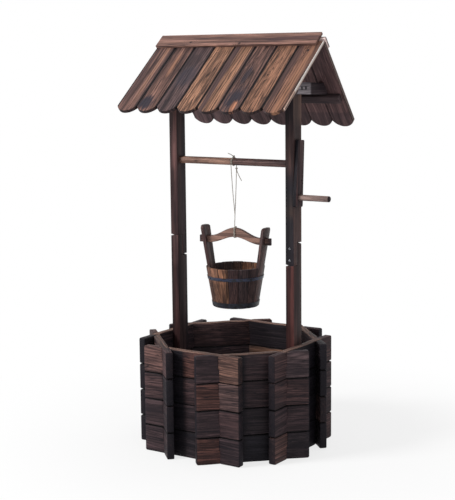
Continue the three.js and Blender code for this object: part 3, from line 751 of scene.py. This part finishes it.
def make_roof_boards(side, place, along, across, turn):
    if side == "back":
        back = wood("roof_back", ring=0.0080, contrast=0.45, fibre=0.3, spread=0.3, warp=0.6,
                    burnt=0.3, rim=(ROOF_EDGE_FROM, 0.004, 0.7))
    for index in range(ROOF_BOARDS):
        mesh, middle = roof_board(index, side)
        # The front slope's last board and the back slope's first have a raw edge, pale wood with a
        # painted highlight.
        bare_and_lit_edge = {("front", ROOF_BOARDS - 1): 1, ("back", 0): -1}.get((side, index), 0)
        if side == "front":
            look = dict(ring=0.0078, contrast=1.0, duty=0.62, burnt=0.3, warp=0.6, bump=0.8)
            look.update(FRONT_ROOF[index])
            shade = look.pop("tone")
            only = (-1.0,) if bare_and_lit_edge else ()
            rim = (ROOF_EDGE_FROM, 0.006, 0.97, *only)
            material = wood(f"roof_front_{index + 1}", rim=rim, **look)
            pith, slope = LOG[index]
        else:
            material = back
            shade = random.choice(BACK_TONES)
            pith, slope = (random.choice((-1, 1)) * random.uniform(0.0, 0.06),
                           random.uniform(0.012, 0.03)), 0.04
        centre = place @ Vector((middle, -ROOF_BOARD_LENGTH[side] / 2, 0))
        place_grain(mesh, centre, along, across, roof_tone(shade, bare_and_lit_edge), pith, slope=slope,
                    start=index * 3.7 + turn, edge_wear_and_highlight=0.7)
        piece = link(f"roof_board_{side}_{index + 1}", mesh, "well", material)
        if index == 0:
            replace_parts(piece, f"{side}_roof_boards")


def make_roof():
    for side, turn in (("front", 0), ("back", math.pi)):
        place = slope_frame(side)
        along, across = place.col[1].to_3d(), place.col[0].to_3d()
        make_roof_boards(side, place, along, across, turn)
        mesh = eased(f"{side}_ridge_cap", CAP_ROUND)
        tone = back_cap_tone if side == "back" else (136, 104, 94)
        place_grain(mesh, place @ Vector(CAP_MIDDLE), across, -along, tone, (0.05, 0.03),
                    slope=0.01, start=turn + 5, edge_wear_and_highlight=0.6)
        material = wood(f"cap_{side}", ring=0.0050, contrast=0.7, warp=0.9, burnt=0.22,
                        knots=[(-0.155, 0.004, 0.004), (0.015, 0.012, 0.004)],
                        stains=[(0.13, 0.0, 0.05, 0.012, (66, 52, 54), 0.8),
                                (0.20, -0.008, 0.11, 0.010, (84, 62, 62), 0.85)])
        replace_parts(link(f"cap_{side}", mesh, "well", material), f"{side}_ridge_cap")
        mesh = eased(f"{side}_batten", BATTEN_ROUND)
        place_grain(mesh, place @ Vector(BATTEN_MIDDLE), across, -along, (66, 54, 56),
                    (0.03, 0.03), slope=0.01, start=turn + 5, edge_wear_and_highlight=0.5)
        material = wood(f"batten_{side}", contrast=0.35, spread=0.25, fibre=0.3, burnt=0.4)
        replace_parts(link(f"batten_{side}", mesh, "well", material), f"{side}_batten")
    tie_wood = wood("tie", burnt=0.25, contrast=0.5)
    steel = metal("tie_screw_steel", (44, 42, 48), (14, 12, 16), 0.6, 0.3)
    outer = POST_GAP / 2 + POST_THICKNESS + SEAT + TIE_THICKNESS + SEAT
    for side, sign in (("left", -1), ("right", 1)):
        mesh = eased(f"{side}_gable_tie", TIE_ROUND)
        sliced(mesh, (0, 0, 0), Vector((0, 1, 0)), TIE_SLICES)
        place_grain(mesh, (MIDDLE, 0, TIE_HEIGHT), (0, 1, 0), UP, tie_tone, (0.05, 0.2), edge_wear_and_highlight=0.3)
        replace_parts(link(f"tie_{side}", mesh, "well", tie_wood), f"{side}_gable_tie")
        for number, y in enumerate(TIE_SCREW_PLACES):
            screw(f"tie_screw_{side}_{number + 1}", (MIDDLE + sign * outer, y, TIE_HEIGHT),
                  (sign, 0, 0), TIE_SCREW_RADIUS, "well", steel)


make_roof()


# Crank

CRANK_ROUND = 0.0010
CRANK_SLICES = [step * 0.02 for step in range(-10, 11)] + [0.0472, 0.0478]
PEG_END = 0.0475  # from its middle


def axle_tone(u, v, w, normal):
    if abs(u) > 0.19:
        return (60, 46, 44)
    return (164, 128, 112) if u < 0.0 else (106, 82, 78)


def arm_tone(u, v, w, normal):
    if abs(normal.z) > 0.6:
        return (74, 58, 59) if u > 0 else (66, 50, 52)
    return (40, 38, 43) if u > 0 else (24, 22, 26)


def peg_tone(u, v, w, normal):
    return (44, 34, 36) if u > PEG_END else (144, 122, 116)


def make_crank():
    for node, tone, look in (
        ("axle", axle_tone, dict(ring=0.0042, contrast=0.55, warp=0.6, burnt=0.2, shine=0.4,
                                 spread=0.35)),
        ("crank_arm", arm_tone, dict(ring=0.0048, contrast=0.6, burnt=0.3, warp=0.3)),
        ("crank_peg", peg_tone, dict(ring=0.0035, contrast=0.5, burnt=0.0, warp=0.5, spread=0.3)),
    ):
        mesh = eased(node, CRANK_ROUND)
        middle = box_middle(node)
        pith = (0.004, 0.012)
        if node == "crank_arm":
            place_grain(mesh, middle, UP, (0, 1, 0), tone, pith, slope=0.04, edge_wear_and_highlight=0.4)
        else:
            sliced(mesh, middle, Vector((1, 0, 0)), CRANK_SLICES)
            place_grain(mesh, middle, (1, 0, 0), UP, tone, pith, slope=0.04)
        word = node.split("_")[-1]
        material = wood(word, **look)
        piece = link(node + "_wood", mesh, "crank", material, smooth=30)
        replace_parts(piece, node)


make_crank()


# Bucket

def bucket_place():
    place = Matrix.Translation((MIDDLE + BUCKET_X, 0, BUCKET_BOTTOM))
    return place @ Matrix.Rotation(BUCKET_TURN, 4, "Z")


def stave_mesh(middle, half, sink):
    """One bucket stave in the bucket's frame, its sides on radii, its top sunk a little."""
    rows, columns = 10, 5
    grids = []
    for inset in (0.0, STAVE_THICKNESS):
        grid = []
        for c in range(columns + 1):
            angle = middle + half * (2 * c / columns - 1)
            column = []
            for r in range(rows + 1):
                z = (BUCKET_HEIGHT - sink) * r / rows
                radius = BUCKET_BOTTOM_RADIUS + z * BUCKET_TAPER - inset
                column.append((radius * math.cos(angle), radius * math.sin(angle), z))
            grid.append(column)
        grids.append(grid)
    return slab(*grids, STAVE_ROUND, 2)


# The outside and inside tones of the plain staves, anticlockwise from above
STAVE_TONES = {
    "back": [(80, 58, 54), (70, 52, 50), (88, 64, 58), (74, 54, 50), (90, 66, 58), (66, 50, 49),
             (76, 56, 53)],
    "front": [(84, 64, 58), (112, 82, 70), (128, 92, 74), (150, 106, 82), (68, 50, 49),
              (60, 48, 49), (72, 56, 55)],
}
STAVE_INSIDES = {
    "back": [(96, 72, 62), (100, 76, 66), (128, 90, 68), (138, 96, 72), (96, 72, 62),
             (76, 60, 56), (66, 52, 52)],
    "front": [(70, 54, 52)] * PLAIN_STAVES,
}
STAVE_GAP_TURN = 0.0022  # half a seam, in radians
STAVE_SINK = 0.0012  # how far a stave's top can lie under the others'
EAR_ROUND = 0.001
YOKE_ROUND = 0.0008
RIVET_ANGLES = (-126, -30, 60, 150)
RIVET_RADIUS = 0.0034
RIVET_PROUD = 0.0002


def stave_tone(shade, inside):
    """The tones of one stave: a pale one's top is lighter and a vivid one's right side dark."""
    def tone(u, v, w, normal):
        if normal.z > 0.5:
            return inside
        share = 0.6 if sum(shade) > 300 and v > 0.008 else 1.0
        if sum(shade) > 250:
            share *= 1.08 if u > 0.015 else 0.80
        return scaled(shade, share)
    return tone


def yoke_tone(u, v, w, normal):
    if abs(u) > 0.088:
        return (62, 46, 48)
    return (104, 82, 76) if normal.y > 0.5 else (146, 114, 102)


def make_staves(place):
    plain = wood("stave", ring=0.0050, contrast=0.6, warp=0.3, burnt=0.15, spread=0.35,
                 rim=(0.0150, 0.0030, 0.5))
    bright = wood("stave_bright", ring=0.0058, contrast=0.95, warp=0.5, burnt=0.0, spread=0.3,
                  rim=(0.0150, 0.0025, 0.5))
    step = (math.pi - EAR_SPAN) / PLAIN_STAVES
    for side, turn in (("back", 0), ("front", math.pi)):
        for index, shade in enumerate(STAVE_TONES[side]):
            angle = turn + EAR_SPAN / 2 + (index + 0.5) * step
            mesh = stave_mesh(angle, step / 2 - STAVE_GAP_TURN, random.uniform(0.0, STAVE_SINK))
            outward = Vector((math.cos(angle), math.sin(angle), 0))
            across = Vector((-outward.y, outward.x, 0))
            middle = outward * (BUCKET_BOTTOM_RADIUS + BUCKET_TOP_RADIUS) / 2
            middle += UP * BUCKET_HEIGHT / 2
            vivid = sum(shade) > 300
            pith = (0.001, 0.012) if vivid else (random.uniform(0.03, 0.07), 0.02)
            tone = stave_tone(shade, STAVE_INSIDES[side][index])
            place_grain(mesh, middle, UP, across, tone, pith, slope=0.11 if vivid else 0.02,
                        start=(index + turn) * 2.3, edge_wear_and_highlight=0.35)
            mesh.transform(place)
            piece = link(f"bucket_stave_{side}_{index + 1}", mesh, "bucket",
                         bright if vivid else plain)
            if index == 0:
                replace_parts(piece, f"bucket_{side}_staves")


def make_bucket():
    place = bucket_place()
    make_staves(place)
    turned = place.to_3x3()
    ear = wood("ear", ring=0.0050, contrast=0.6, warp=0.3, burnt=0.35, spread=0.35, shine=0.35)
    for node in ("bucket_right_ear", "bucket_left_ear", "bucket_bottom"):
        mesh = eased(node, EAR_ROUND)
        place_grain(mesh, box_middle(node), UP, turned @ Vector((0, 1, 0)), (88, 66, 64),
                    (0.05, 0.03), slope=0.02, edge_wear_and_highlight=0.5)
        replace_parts(link(node + "_wood", mesh, "bucket", ear), node)
    yoke = wood("yoke", ring=0.0048, contrast=0.55, warp=0.5, burnt=0.1, spread=0.35, shine=0.4)
    mesh = eased("bucket_yoke", YOKE_ROUND)
    place_grain(mesh, box_middle("bucket_yoke"), turned @ Vector((1, 0, 0)), UP, yoke_tone,
                (0.04, 0.03), slope=0.02)
    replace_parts(link("bucket_yoke_wood", mesh, "bucket", yoke), "bucket_yoke")
    upper = metal("upper_hoop", (40, 46, 70), (20, 21, 31), 0.45, 0.35)
    lower = metal("lower_hoop", (30, 33, 46), (12, 12, 17), 0.45, 0.35)
    for node, band in (("bucket_upper_hoop", upper), ("bucket_lower_hoop", lower)):
        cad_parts[node].data.materials.clear()
        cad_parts[node].data.materials.append(band)
    radius = BUCKET_BOTTOM_RADIUS + UPPER_HOOP_MIDDLE * BUCKET_TAPER + HOOP_THICKNESS + SEAT
    rivet = metal("rivet", (30, 30, 38), (14, 14, 18), 0.5, 0.5)
    for number, degrees in enumerate(RIVET_ANGLES):
        angle = math.radians(degrees)
        outward = Vector((math.cos(angle), math.sin(angle), 0))
        where = place @ (outward * (radius + RIVET_PROUD) + UP * UPPER_HOOP_MIDDLE)
        screw(f"hoop_rivet_{number + 1}", where, turned @ outward, RIVET_RADIUS, "bucket",
              rivet)


make_bucket()


# Twine: two plies twisted round the cord's middle line

def smooth_line(points, spacing=0.0008):
    """A smooth line through points, by centripetal Catmull-Rom, with even steps."""
    points = [Vector(p) for p in points]
    ends = [points[0] * 2 - points[1], *points, points[-1] * 2 - points[-2]]
    line = []
    for p0, p1, p2, p3 in zip(ends, ends[1:], ends[2:], ends[3:]):
        t1 = (p1 - p0).length ** 0.5
        t2 = t1 + (p2 - p1).length ** 0.5
        t3 = t2 + (p3 - p2).length ** 0.5
        count = max(2, round((p2 - p1).length / spacing))
        for i in range(count):
            t = t1 + (t2 - t1) * i / count
            a1 = p0.lerp(p1, t / t1)
            a2 = p1.lerp(p2, (t - t1) / (t2 - t1))
            a3 = p2.lerp(p3, (t - t2) / (t3 - t2))
            b1 = a1.lerp(a2, t / t2)
            b2 = a2.lerp(a3, (t - t1) / (t3 - t1))
            line.append(b1.lerp(b2, (t - t1) / (t2 - t1)))
    line.append(points[-1])
    return line


def frames(line):
    """A square frame at each point that doesn't turn about the line."""
    side = Vector((0.31, 0.92, 0.21))
    made = []
    for i, point in enumerate(line):
        along = (line[min(i + 1, len(line) - 1)] - line[max(i - 1, 0)]).normalized()
        side = (side - along * side.dot(along)).normalized()
        made.append((point, side.copy(), along.cross(side)))
    return made


def tube(work, line, radius, sides=6):
    rings = []
    for i, (point, first, second) in enumerate(frames(line)):
        tip = 0.35 if i in (0, len(line) - 1) else 1.0
        ring = []
        for k in range(sides):
            angle = 2 * math.pi * k / sides
            spoke = first * math.cos(angle) + second * math.sin(angle)
            ring.append(work.verts.new(point + spoke * radius * tip))
        rings.append(ring)
    skin(work, rings)


def twine(work, points, lay=0.0052):
    line = smooth_line(points)
    for ply in range(2):
        travelled = 0
        middle = []
        last = line[0]
        for point, first, second in frames(line):
            travelled += (point - last).length
            last = point
            angle = 2 * math.pi * travelled / lay + math.pi * ply
            spiral = first * math.cos(angle) + second * math.sin(angle)
            middle.append(point + spiral * TWINE_RADIUS * 0.5)
        tube(work, middle, TWINE_RADIUS * 0.56)


def knot(work, centre, size, turn):
    """An overhand knot pulled small."""
    points = []
    for i in range(37):
        t = 2 * math.pi * i / 36
        place = Vector((math.sin(t) + 2 * math.sin(2 * t), math.cos(t) - 2 * math.cos(2 * t),
                        -1.6 * math.sin(3 * t)))
        points.append(Vector(centre) + Matrix.Rotation(turn, 3, "X") @ place * size / 3)
    twine(work, points)


def in_well(points):
    return [(x + MIDDLE, y, z) for x, y, z in points]


UPPER_TAIL = [(0.0011, -0.0020, 0.8216), (-0.0012, -0.0040, 0.8265), (-0.0078, -0.0060, 0.8310),
              (-0.0160, -0.0065, 0.8334)]
LOWER_TAIL = [(0.0019, 0.0103, 0.7900), (0.0044, 0.0115, 0.7790), (0.0112, 0.0120, 0.7660),
              (0.0184, 0.0118, 0.7546)]
STRAND_JOIN = (0.0026, -0.0008, 0.6560)
FRONT_STRAND_MIDDLE = (-0.0004, -0.0056, 0.7200)
BACK_STRAND_MIDDLE = (0.0028, 0.0047, 0.7200)
STRAIGHT_END = 0.010


def axle_winding():
    radius = AXLE_RADIUS + SEAT + TWINE_RADIUS
    start = AXLE_HEIGHT - 2 * TWINE_RADIUS
    points = [(AXLE_WINDING_START, radius, start)]
    steps = round(24 * AXLE_TURNS)
    for i in range(steps + 1):
        angle = 2 * math.pi * AXLE_TURNS * i / steps
        x = AXLE_WINDING_START + (AXLE_WINDING_END - AXLE_WINDING_START) * i / steps
        points.append((x, radius * math.cos(angle), AXLE_HEIGHT + radius * math.sin(angle)))
    points.append((AXLE_WINDING_END, -radius, start))
    return points


def yoke_winding():
    """From the front of the yoke round its section, in the bucket's frame."""
    corner = YOKE_BEVEL + SEAT + TWINE_RADIUS
    y, z = YOKE_THICKNESS / 2 - YOKE_BEVEL, YOKE_MIDDLE_HEIGHT / 2 - YOKE_BEVEL
    start = YOKE_PITCH * YOKE_TURNS / 2
    front = -YOKE_THICKNESS / 2 - SEAT - TWINE_RADIUS
    points = [(start, front, YOKE_MIDDLE + YOKE_MIDDLE_HEIGHT / 2 + TWINE_RADIUS)]
    count = round(16 * YOKE_TURNS)
    for i in range(count + 1):
        at, within = divmod(i, 4)
        cy, cz, quarter = ((-y, -z, 2), (y, -z, 3), (y, z, 0), (-y, z, 1))[at % 4]
        angle = math.pi / 2 * (quarter + within / 3)
        points.append((start - YOKE_PITCH * i / 16, cy + corner * math.cos(angle),
                       YOKE_MIDDLE + cz + corner * math.sin(angle)))
    return points


def finish_twine(name, work, body, material):
    return link(name, finished(work, name), body, material, smooth=60)


def make_twine():
    s = Shader("twine")
    where = s.node("TexCoord").outputs["Object"]
    hairs = s.noise(where, (2200, 2200, 700), 3, 0.6)
    shade = s.mix(s.between(hairs, 0.35, 0.65), colour(112, 106, 98), colour(178, 168, 156))
    material = s.finish({"Base Color": shade, "Roughness": 0.9, "Sheen Weight": 0.3}, hairs, 0.5,
                        0.0004)

    work = bmesh.new()
    twine(work, in_well(axle_winding()))
    twine(work, in_well(UPPER_TAIL))
    knot(work, (MIDDLE + 0.0012, -0.0030, 0.8250), 0.0028, 0.4)
    piece = finish_twine("twine_on_axle", work, "crank", material)
    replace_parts(piece, "twine_round_axle")

    place = bucket_place()
    round_yoke = [place @ Vector(p) for p in yoke_winding()]
    work = bmesh.new()
    twine(work, round_yoke)
    knot(work, round_yoke[0] + Vector((0.0028, 0.0002, 0.0016)), 0.0022, 0.2)
    piece = finish_twine("twine_on_yoke", work, "bucket", material)
    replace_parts(piece, "twine_round_yoke")

    radius = AXLE_RADIUS + SEAT + TWINE_RADIUS
    start = AXLE_HEIGHT - 2 * TWINE_RADIUS - SEAT
    end = round_yoke[0] + UP * SEAT
    above = end + UP * STRAIGHT_END
    join = Vector(in_well([STRAND_JOIN])[0])
    front = in_well([(AXLE_WINDING_END, -radius, start), FRONT_STRAND_MIDDLE])
    back = in_well([(AXLE_WINDING_START, radius, start), BACK_STRAND_MIDDLE])
    work = bmesh.new()
    twine(work, [*front, join, above, end])
    twine(work, [*back, join])
    twine(work, in_well(LOWER_TAIL))
    knot(work, in_well([(0.0021, 0.0104, 0.7895)])[0], 0.0026, 1.2)
    piece = finish_twine("twine_hanging", work, "twine", material)
    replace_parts(piece, "hanging_twine")
    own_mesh(piece)


make_twine()


# Studio: a white floor that keeps the shadow, a lamp from the left, soft fills, a white background

def seen_directly(tree):
    """1 for camera, glossy and transmission rays."""
    path = tree.nodes.new("ShaderNodeLightPath")
    total = path.outputs["Is Camera Ray"]
    for key in ("Is Glossy Ray", "Is Transmission Ray"):
        either = tree.nodes.new("ShaderNodeMath")
        either.operation = "MAXIMUM"
        tree.links.new(total, either.inputs[0])
        tree.links.new(path.outputs[key], either.inputs[1])
        total = either.outputs[0]
    return total


def make_studio():
    mesh = bpy.data.meshes.new("floor")
    mesh.from_pydata([(-9, -9, 0), (9, -9, 0), (9, 9, 0), (-9, 9, 0)], [], [(0, 1, 2, 3)])
    floor = add("floor", mesh)
    s = Shader("floor")
    where = s.node("TexCoord").outputs["Object"]
    shade = s.mix(s.noise(where, (3, 3, 3), 2), (0.86, 0.86, 0.86, 1), (0.89, 0.89, 0.89, 1))
    s.finish({"Base Color": shade, "Roughness": 0.9, "Specular IOR Level": 0.1})
    far = s.between(s.vector("LENGTH", where), 0.45, 1.1, 0.76, 1.0)
    white = s.node("Emission", {"Strength": 1.0})
    share = s.math("MULTIPLY", far, seen_directly(s.tree))
    mixed = s.node("MixShader", {0: share, 1: s.shader.outputs[0], 2: white.outputs[0]})
    s.put(s.tree.nodes["Material Output"].inputs["Surface"], mixed.outputs[0])
    mesh.materials.append(s.material)
    for name, place, size, power, target in (
        ("key", (-2.3, -3.2, 3.1), 1.3, 200, (0, 0, 0.6)),
        ("fill", (3.4, -2.6, 1.4), 2.2, 30, (0, 0, 0.6)),
        ("top", (0.4, 1.2, 4.0), 2.4, 45, (0, 0, 0.4)),
    ):
        data = bpy.data.lights.new(name, "AREA")
        data.energy = power
        data.size = size
        lamp = add(name, data)
        lamp.location = place
        lamp.rotation_euler = (Vector(target) - Vector(place)).to_track_quat("-Z", "Y").to_euler()
    world = bpy.data.worlds.new("studio")
    bpy.context.scene.world = world
    world.use_nodes = True
    tree = world.node_tree
    plain = tree.nodes["Background"]
    plain.inputs[0].default_value = (1, 1, 1, 1)
    plain.inputs[1].default_value = 0.30
    white = tree.nodes.new("ShaderNodeBackground")
    white.inputs[0].default_value = (1, 1, 1, 1)
    mix = tree.nodes.new("ShaderNodeMixShader")
    tree.links.new(seen_directly(tree), mix.inputs[0])
    tree.links.new(plain.outputs[0], mix.inputs[1])
    tree.links.new(white.outputs[0], mix.inputs[2])
    tree.links.new(mix.outputs[0], tree.nodes["World Output"].inputs[0])
    bpy.context.scene.view_settings.view_transform = "Standard"


make_studio()
